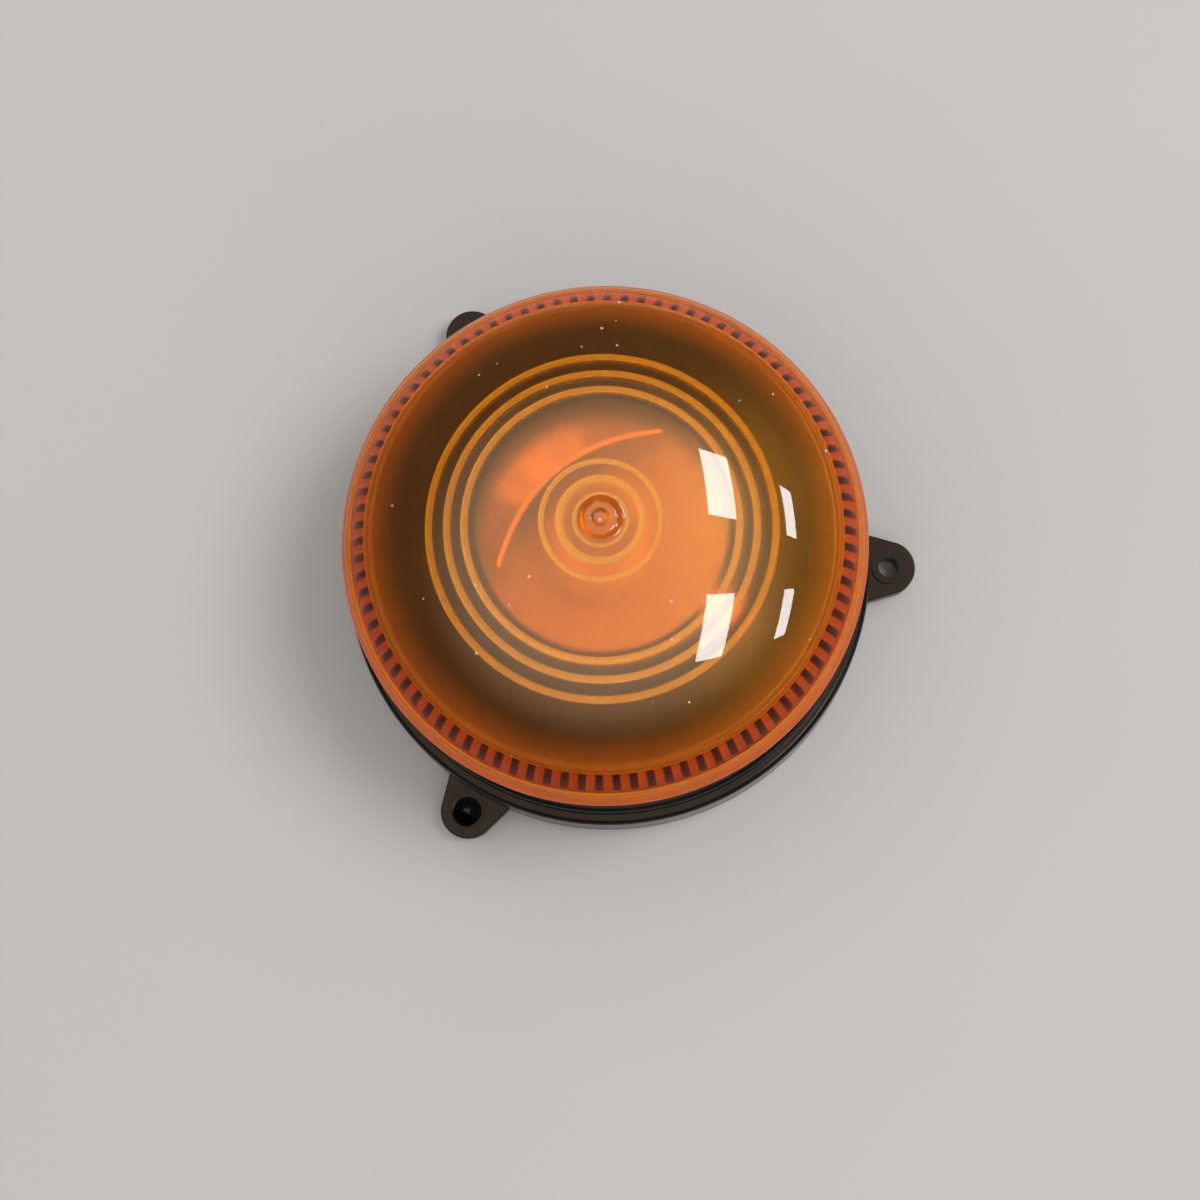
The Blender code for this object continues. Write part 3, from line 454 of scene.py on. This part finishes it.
def lathe(sections, steps, shape=None):
    """Turns (material index, [(r, z), ...]) lines, joined end to end, about the Z axis.

    shape(tag, r, z, angle) may return a changed (r, z) for fluted stretches.
    """
    line = []
    for tag, points in sections:
        for r, z in points:
            if line and math.dist(line[-1][1:], (r, z)) < 1e-5:
                continue
            line.append((tag, r, z))
    bm = bmesh.new()
    rings = []
    for tag, r, z in line:
        if r < 1e-6:
            rings.append([bm.verts.new((0.0, 0.0, z))])
            continue
        ring = []
        for step in range(steps):
            angle = math.tau * step / steps
            rr, zz = shape(tag, r, z, angle) if shape else (r, z)
            ring.append(bm.verts.new((rr * math.cos(angle), rr * math.sin(angle), zz)))
        rings.append(ring)
    pairs = list(zip(range(len(rings)), range(1, len(rings))))
    if not (len(rings[0]) == 1 and len(rings[-1]) == 1):
        pairs.append((len(rings) - 1, 0))
    for first, second in pairs:
        a, b = rings[first], rings[second]
        index = line[second][0]
        for step in range(steps):
            after = (step + 1) % steps
            if len(a) == 1 and len(b) == 1:
                break
            if len(a) == 1:
                face = bm.faces.new((a[0], b[step], b[after]))
            elif len(b) == 1:
                face = bm.faces.new((a[step], b[0], a[after]))
            else:
                face = bm.faces.new((a[step], b[step], b[after], a[after]))
            face.material_index = index
    return bm


def shade(mesh, sharp=40.0):
    mesh.shade_smooth()
    mesh.set_sharp_from_angle(angle=math.radians(sharp))


def to_mesh(name, bm, sharp=40.0):
    bmesh.ops.recalc_face_normals(bm, faces=bm.faces)
    bmesh.ops.scale(bm, vec=(MM, MM, MM), verts=bm.verts)
    mesh = bpy.data.meshes.new(name)
    bm.to_mesh(mesh)
    bm.free()
    shade(mesh, sharp)
    return mesh


def piece(name, mesh, body, materials, replaced):
    """Adds a mesh as a piece that rides on a CAD body in place of one CAD node."""
    for material in materials:
        mesh.materials.append(material)
    made = bpy.data.objects.new(name, mesh)
    bpy.context.scene.collection.objects.link(made)
    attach(made, body)
    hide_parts(replaced)
    return made


def add_solid(bm, other):
    scratch = bpy.data.meshes.new("scratch")
    other.to_mesh(scratch)
    other.free()
    bm.from_mesh(scratch)
    bpy.data.meshes.remove(scratch)


def sector(bore, radius, low, high, start, span, rise=0.0, steps=24):
    """A ring sector that climbs as it turns, as a thread does."""
    bm = bmesh.new()
    rows = []
    for step in range(steps + 1):
        share = step / steps
        angle = math.radians(start + span * share)
        lift = rise * share
        corners = ((bore, low), (radius, low), (radius, high), (bore, high))
        rows.append([bm.verts.new((r * math.cos(angle), r * math.sin(angle), z + lift))
                     for r, z in corners])
    for first, second in zip(rows, rows[1:]):
        for corner in range(4):
            after = (corner + 1) % 4
            bm.faces.new((first[corner], first[after], second[after], second[corner]))
    bm.faces.new(rows[0])
    bm.faces.new(reversed(rows[-1]))
    return bm


# ---------------------------------------------------------------- lens

OUTER, INNER, WALL, RIB, SIDE, EDGE, SKIRT = range(7)    # stretches, one material each


def crown_z(radius, inset=0.0):
    centre = CROWN_TOP - CROWN_RADIUS
    return centre + math.sqrt((CROWN_RADIUS - inset) ** 2 - radius ** 2)


def crown_line(start, end, inset):
    count = max(1, round(abs(end - start) / CROWN_STEP))
    return [(start + (end - start) * i / count, crown_z(start + (end - start) * i / count, inset))
            for i in range(count + 1)]


def lens_sections():
    pip = fillet([(0.0, 83.9), (0.7, 83.7), (1.5, 83.75), (1.9, 84.4), (2.4, 84.75), (3.1, 84.79),
                  (3.9, 84.6), (4.6, 84.15), (5.1, 83.7), (5.7, 83.38), (6.6, 83.18),
                  (8.2, crown_z(8.2)), (9.0, crown_z(9.0))], 0.6, 4)
    wall = [(SHOULDER_R, crown_z(SHOULDER_R)), (62.6, 60.1), (64.9, 56.25)]
    shoulder = fillet([(59.4, crown_z(59.4))] + wall + [(65.05, 56.0)], 1.3, 5)
    bead = [(65.05, 56.0), (65.1, 55.8), (65.55, 55.8), (65.75, 55.6), (65.75, 55.4), (65.5, 55.2),
            (65.55, 55.0), (66.0, 54.95), (66.2, 54.75), (66.2, 54.5)]
    skirt = fillet([(66.2, 54.5), (67.6, 52.4), (68.0, 51.4), (68.0, 50.3), (67.6, 50.0), (65.2, 50.0),
                    (64.8, 50.4)], 0.3, 3)
    # the shoulder's first points still carry the crown's material
    outer = pip + crown_line(9.5, 59.0, 0.0) + shoulder[:4]
    edge = fillet(bead, 0.1, 2)
    inner_wall = [(64.8, 50.4), (64.8, 50.9), (64.8, 52.0), (64.7, 53.0), (64.2, 54.2),
                  (63.8, 54.9), (63.2, 56.0), (62.4, 57.2), (61.4, 58.7), (60.4, 60.0)]
    corner = fillet([(60.4, 60.0), (59.3, 61.3), (58.0, crown_z(58.0, LENS_WALL)),
                     (CROWN_EDGE_R, crown_z(CROWN_EDGE_R, LENS_WALL))], 1.2, 4)
    sections = [(OUTER, outer), (SIDE, shoulder[4:]), (EDGE, edge), (SKIRT, skirt),
                (WALL, inner_wall), (INNER, corner)]
    reach = CROWN_EDGE_R
    for radius, width, height in RINGS:
        sections.append((INNER, crown_line(reach, radius + width / 2, LENS_WALL)))
        rib = []
        for step in range(1, RING_STEPS + 1):
            across = 1.0 - 2.0 * step / RING_STEPS
            lift = height * math.sqrt(max(0.0, 1.0 - across ** 2))
            r = radius + across * width / 2
            rib.append((r, crown_z(r, LENS_WALL) - lift))
        sections.append((RIB, rib))
        reach = radius - width / 2
    sections.append((INNER, crown_line(reach, 0.0, LENS_WALL)))
    return sections


def flute(tag, r, z, angle):
    """Upright flutes on the inside of the lens's wall and skirt."""
    if tag != WALL:
        return r, z
    wave = 0.5 + 0.5 * math.sin(angle * FLUTES)
    for foot, top, run_in, run_out, depth in FLUTE_BANDS:
        share = min(1.0, (z - foot) / run_in, (top - z) / run_out)
        if share > 0.0:
            return r + depth * share * (wave - FLUTE_SHARE), z
    return r, z


def make_lens(materials):
    bm = lathe(lens_sections(), FLUTES * FLUTE_STEPS, flute)
    for start in range(3):
        add_solid(bm, sector(62.5, 65.2, 50.3, 51.5, start * 120.0 + 2.0, LUG_SPAN, LUG_RISE))
    piece("lens_moulding", to_mesh("lens_moulding", bm, 50.0), "lens",
          [materials[key] for key in ("amber_out", "amber_in", "amber_wall_painted_light", "amber_rib_painted_glow",
                                      "amber_side", "amber_edge_painted_glow", "amber_skirt")],
          "lens_dome")


# ---------------------------------------------------------------- lamp and mirror

def make_bulb_glass(materials):
    """A thin-walled globe with its neck, open at the foot."""
    outer = [(GLOBE_NECK_R, GLOBE_NECK_FOOT), (GLOBE_NECK_R, GLOBE_NECK_TOP)]
    outer += arc(0.0, GLOBE_Z, GLOBE_R, -50.0, 90.0, 40)
    inner = arc(0.0, GLOBE_Z, GLOBE_R - GLOBE_WALL, 90.0, -50.0, 40)
    inner += [(GLOBE_NECK_R - GLOBE_WALL, GLOBE_NECK_TOP), (GLOBE_NECK_R - GLOBE_WALL, GLOBE_NECK_FOOT)]
    bm = lathe([(0, fillet(outer, 1.5) + fillet(inner, 1.5))], GLOBE_ROUND)
    piece("lamp_globe", to_mesh("lamp_globe", bm), "bulb", [materials["glass"]],
          "bulb_glass")


def make_mirror(materials):
    """The parabolic mirror, its focus on the filament, with its screwed foot."""
    bm = bmesh.new()
    skins = []
    for depth in (0.0, MIRROR_THICKNESS):
        skin = []
        for row in range(MIRROR_ROWS + 1):
            z = MIRROR_LOW + (MIRROR_HIGH - MIRROR_LOW) * row / MIRROR_ROWS
            line = []
            for column in range(MIRROR_COLUMNS + 1):
                x = MIRROR_HALF * (2.0 * column / MIRROR_COLUMNS - 1.0)
                reach = (x ** 2 + (z - LIGHT_CENTRE_Z) ** 2) / (4.0 * MIRROR_FOCUS)
                line.append(bm.verts.new((reach - MIRROR_FOCUS - depth, x, z)))
            skin.append(line)
        skins.append(skin)
        for upper, lower in zip(skin, skin[1:]):
            for column in range(MIRROR_COLUMNS):
                bm.faces.new((upper[column], upper[column + 1], lower[column + 1], lower[column]))
    front, back = ([*skin[0][:-1], *[line[-1] for line in skin[:-1]], *reversed(skin[-1][1:]),
                    *[line[0] for line in reversed(skin[1:])]] for skin in skins)
    for index in range(len(front)):
        after = (index + 1) % len(front)
        bm.faces.new((front[index], front[after], back[after], back[index]))
    bmesh.ops.rotate(bm, verts=bm.verts, cent=(0.0, 0.0, 0.0),
                     matrix=Matrix.Rotation(math.radians(MIRROR_ANGLE), 3, "Z"))
    made = piece("mirror", to_mesh("mirror", bm), "turntable", [materials["mirror"]],
                 "reflector")
    behind = MIRROR_ANGLE + 180.0
    foot = sector(17.6, 30.5, 50.3, 52.1, behind - FOOT_SPAN / 2, FOOT_SPAN)
    holes = [upright(FOOT_HOLE_R, 45.0, 60.0, polar(FOOT_SCREW_R, behind + turn), 32)
             for turn in (-FOOT_SCREW_TURN, FOOT_SCREW_TURN)]
    combine(made, [foot], "UNION")
    combine(made, holes, "DIFFERENCE")
    shade(made.data)


# ---------------------------------------------------------------- base

def base_line():
    outer = [(61.4, 54.6), (62.0, 54.0), (62.0, 48.0), (67.6, 48.0), (67.6, 45.4), (66.6, 44.6),
             (66.4, 23.4)]
    outer += arc(66.5, 21.0, 2.3, 90.0, 0.0, 8)
    outer += [(68.8, 18.6)]
    outer += arc(69.8, 16.4, 2.0, 90.0, 0.0, 8)
    outer += [(72.5, 1.0), (71.9, 0.0), (71.3, 0.0), (71.3, 1.6), (69.2, 1.6), (69.2, 0.0),
              (68.0, 0.0), (68.0, 13.0), (64.0, 21.0), (63.8, 37.0), (60.6, 40.0), (57.2, 40.0),
              (57.2, 42.0), (59.8, 42.0), (59.8, 54.6), (61.4, 54.6)]
    return fillet(outer, 0.35, 3)


def disc_prism(outline, low, high):
    """An upright prism on a closed outline."""
    bm = bmesh.new()
    face = bm.faces.new([bm.verts.new((x, y, low)) for x, y in outline])
    extruded = bmesh.ops.extrude_face_region(bm, geom=[face])["geom"]
    top = [item for item in extruded if isinstance(item, bmesh.types.BMVert)]
    bmesh.ops.translate(bm, vec=(0.0, 0.0, high - low), verts=top)
    return bm


def ear_solid(angle):
    outline = [(69.5, -10.6), (72.3, -9.4)]
    outline += arc(EAR_PITCH_R, 0.0, EAR_R, -68.0, 68.0, 28)
    outline += [(72.3, 9.4), (69.5, 10.6)]
    bm = disc_prism(outline, 0.0, 6.0)
    edges = [e for e in bm.edges if abs(e.verts[0].co.z - e.verts[1].co.z) < 1e-4
             and e.verts[0].co.z > 3.0 and e.calc_length() < 20.0]
    bmesh.ops.bevel(bm, geom=edges, offset=0.5, segments=3, affect="EDGES", profile=0.5)
    bmesh.ops.rotate(bm, verts=bm.verts, cent=(0.0, 0.0, 0.0),
                     matrix=Matrix.Rotation(math.radians(angle), 3, "Z"))
    return bm


def upright(radius, low, high, at, steps=48):
    profile = [(0.0, low), (radius, low), (radius, high), (0.0, high)]
    bm = lathe([(0, profile)], steps)
    bmesh.ops.translate(bm, vec=(at[0], at[1], 0.0), verts=bm.verts)
    return bm


def polar(radius, degrees):
    return (radius * math.cos(math.radians(degrees)), radius * math.sin(math.radians(degrees)))


def combine(target, solids, operation):
    """Joins solids to a mesh object, or cuts them from it, and keeps the result as its mesh."""
    for solid in solids:
        bmesh.ops.recalc_face_normals(solid, faces=solid.faces)
        bmesh.ops.scale(solid, vec=(MM, MM, MM), verts=solid.verts)
        mesh = bpy.data.meshes.new("tool")
        solid.to_mesh(mesh)
        solid.free()
        tool = bpy.data.objects.new("tool", mesh)
        bpy.context.scene.collection.objects.link(tool)
        modifier = target.modifiers.new("combine", "BOOLEAN")
        modifier.operation = operation
        modifier.solver = "EXACT"
        modifier.object = tool
        depsgraph = bpy.context.evaluated_depsgraph_get()
        result = bpy.data.meshes.new_from_object(target.evaluated_get(depsgraph))
        target.modifiers.clear()
        old = target.data
        target.data = result
        bpy.data.meshes.remove(old)
        bpy.data.objects.remove(tool)
        bpy.data.meshes.remove(mesh)


def make_base(materials):
    bm = lathe([(0, base_line())], BASE_ROUND)
    made = piece("base_moulding", to_mesh("base_moulding", bm), "base", [materials["black"]],
                 "base_housing")
    joined = [sector(61.2, 64.2, 51.9, 53.1, start * 120.0, RAMP_SPAN, RAMP_RISE, 40)
              for start in range(3)]
    cut = []
    for angle in CHASSIS_SCREW_ANGLES:
        joined.append(upright(4.4, 29.0, 42.0, polar(CHASSIS_SCREW_R, angle)))
        cut.append(upright(PILOT_R, 30.5, 43.0, polar(CHASSIS_SCREW_R, angle), 24))
    for angle in COVER_SCREW_ANGLES:
        joined.append(upright(4.6, 3.5, 16.0, polar(COVER_SCREW_R, angle)))
        cut.append(upright(PILOT_R, 2.0, 13.5, polar(COVER_SCREW_R, angle), 24))
    for angle in EAR_ANGLES:
        spot = polar(EAR_PITCH_R, angle)
        joined.append(ear_solid(angle))
        joined.append(upright(4.6, 3.0, 7.0, spot))
        cut.append(upright(EAR_HOLE_R, -1.0, 8.0, spot))
    combine(made, joined, "UNION")
    combine(made, cut, "DIFFERENCE")
    made.data.validate()
    shade(made.data)


# ---------------------------------------------------------------- stage

# lengths in this section are metres, but for the camera's lens and sensor
SOFTBOX_HEIGHT = 2.0
SOFTBOX_WIDTH = 0.5
SOFTBOX_LENGTH = 1.0
SOFTBOX_OUT = 1.5        # from the light's axis to the first row of softboxes
SOFTBOX_PITCH = 2.0      # between neighbours in either direction
SOFTBOX_GLOW = 14.0      # how much brighter than a white surface
KEY_POWER = 14.5         # watts
KEY_WIDTH = 1.1
KEY_PLACE = (1.2, 0.3, 2.0)
OVERHEAD_START = 0.45    # upward part of a direction where the overhead glow begins
OVERHEAD_FULL = 0.80     # and where it is at its full strength
OVERHEAD_GLOW = rgb(3.0, 2.2, 1.4)
LOW_GLOW = rgb(0.16, 0.13, 0.11)
SOFT_COLOUR = rgb(1.0, 0.98, 0.95)
SOFT_STRENGTH = 0.45
FLOOR_HALF = 3.0
FLOOR_DROP = 0.0002      # keeps the floor clear of the light's underside
CAMERA_LENS = 60.0       # focal length and sensor width in millimetres
CAMERA_SENSOR = 36.0
CAMERA_PLACE = Vector((0.0142, -0.0894, 0.5592))
CAMERA_AIM = Vector((-0.0012, -0.0149, 0.0479))


def add_light(name, shape, width, place):
    lamp = bpy.data.lights.new(name, "AREA")
    lamp.shape = shape
    lamp.size = width
    holder = bpy.data.objects.new(name, lamp)
    bpy.context.scene.collection.objects.link(holder)
    holder.location = place
    holder.visible_camera = False
    return holder


def make_lights():
    """A soft key light, and a plain grid of four softboxes for glossy and clear surfaces."""
    key = add_light("key", "DISK", KEY_WIDTH, KEY_PLACE)
    key.data.energy = KEY_POWER
    key.rotation_euler = Vector(KEY_PLACE).to_track_quat("Z", "Y").to_euler()
    key.visible_glossy = False
    for row in range(2):
        for side, end in ((-1, "front"), (1, "back")):
            place = (SOFTBOX_OUT + SOFTBOX_PITCH * row, SOFTBOX_PITCH / 2 * side, SOFTBOX_HEIGHT)
            box = add_light(f"softbox_{row + 1}_{end}", "RECTANGLE", SOFTBOX_WIDTH, place)
            box.data.size_y = SOFTBOX_LENGTH
            box.data.energy = SOFTBOX_GLOW * math.pi * SOFTBOX_WIDTH * SOFTBOX_LENGTH
            box.visible_diffuse = False


def make_world():
    """Even soft light all round, but glossy rays see a round glow overhead in dimmer surroundings."""
    world = bpy.data.worlds.new("studio")
    bpy.context.scene.world = world
    world.use_nodes = True
    tree = world.node_tree
    tree.nodes.clear()
    out = tree.nodes.new("ShaderNodeOutputWorld")
    split = tree.nodes.new("ShaderNodeSeparateXYZ")
    tree.links.new(tree.nodes.new("ShaderNodeTexCoord").outputs["Generated"], split.inputs[0])
    overhead = tree.nodes.new("ShaderNodeMapRange")
    overhead.interpolation_type = "SMOOTHSTEP"
    tree.links.new(split.outputs["Z"], overhead.inputs["Value"])
    overhead.inputs["From Min"].default_value = OVERHEAD_START
    overhead.inputs["From Max"].default_value = OVERHEAD_FULL
    reflected = tree.nodes.new("ShaderNodeMix")
    reflected.data_type = "RGBA"
    tree.links.new(overhead.outputs["Result"], reflected.inputs[0])
    reflected.inputs[6].default_value = LOW_GLOW
    reflected.inputs[7].default_value = OVERHEAD_GLOW
    shine = tree.nodes.new("ShaderNodeBackground")
    tree.links.new(reflected.outputs[2], shine.inputs["Color"])
    soft = tree.nodes.new("ShaderNodeBackground")
    soft.inputs["Color"].default_value = SOFT_COLOUR
    soft.inputs["Strength"].default_value = SOFT_STRENGTH
    path = tree.nodes.new("ShaderNodeLightPath")
    mix = tree.nodes.new("ShaderNodeMixShader")
    tree.links.new(path.outputs["Is Glossy Ray"], mix.inputs[0])
    tree.links.new(soft.outputs[0], mix.inputs[1])
    tree.links.new(shine.outputs[0], mix.inputs[2])
    tree.links.new(mix.outputs[0], out.inputs["Surface"])


def make_floor():
    n = Nodes("floor_pale")
    tone = n.mix_colour(
        n.remap(n.noise(3.0, 4.0), 0.0, 1.0), rgb(0.82, 0.815, 0.805), rgb(0.86, 0.855, 0.845))
    shader = n.principled({
        "Base Color": tone, "Roughness": 0.7, "Specular IOR Level": 0.2,
        "Normal": n.bump(n.noise(700.0, 3.0), 0.05, 0.1)})
    mesh = bpy.data.meshes.new("floor")
    corners = [(x * FLOOR_HALF, y * FLOOR_HALF, 0.0) for x, y in ((-1, -1), (1, -1), (1, 1), (-1, 1))]
    mesh.from_pydata(corners, [], [(0, 1, 2, 3)])
    mesh.materials.append(n.finish(shader.outputs["BSDF"]))
    floor = bpy.data.objects.new("floor", mesh)
    bpy.context.scene.collection.objects.link(floor)
    floor.location.z = -FLOOR_DROP


def make_camera():
    data = bpy.data.cameras.new("camera")
    data.lens = CAMERA_LENS
    data.sensor_width = CAMERA_SENSOR
    data.clip_start = 0.01
    camera = bpy.data.objects.new("camera", data)
    bpy.context.scene.collection.objects.link(camera)
    forward = (CAMERA_AIM - CAMERA_PLACE).normalized()
    right = forward.cross(Vector((0.0, 1.0, 0.0))).normalized()
    up = right.cross(forward)
    turn = Matrix((right, up, -forward)).transposed()
    camera.matrix_world = Matrix.Translation(CAMERA_PLACE) @ turn.to_4x4()
    bpy.context.scene.camera = camera


def main():
    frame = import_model()
    materials = make_materials()
    make_lens(materials)
    make_bulb_glass(materials)
    make_mirror(materials)
    make_base(materials)
    dress_nodes(frame, materials)
    make_floor()
    make_lights()
    make_world()
    make_camera()
    bpy.context.scene.view_settings.view_transform = "Standard"


main()
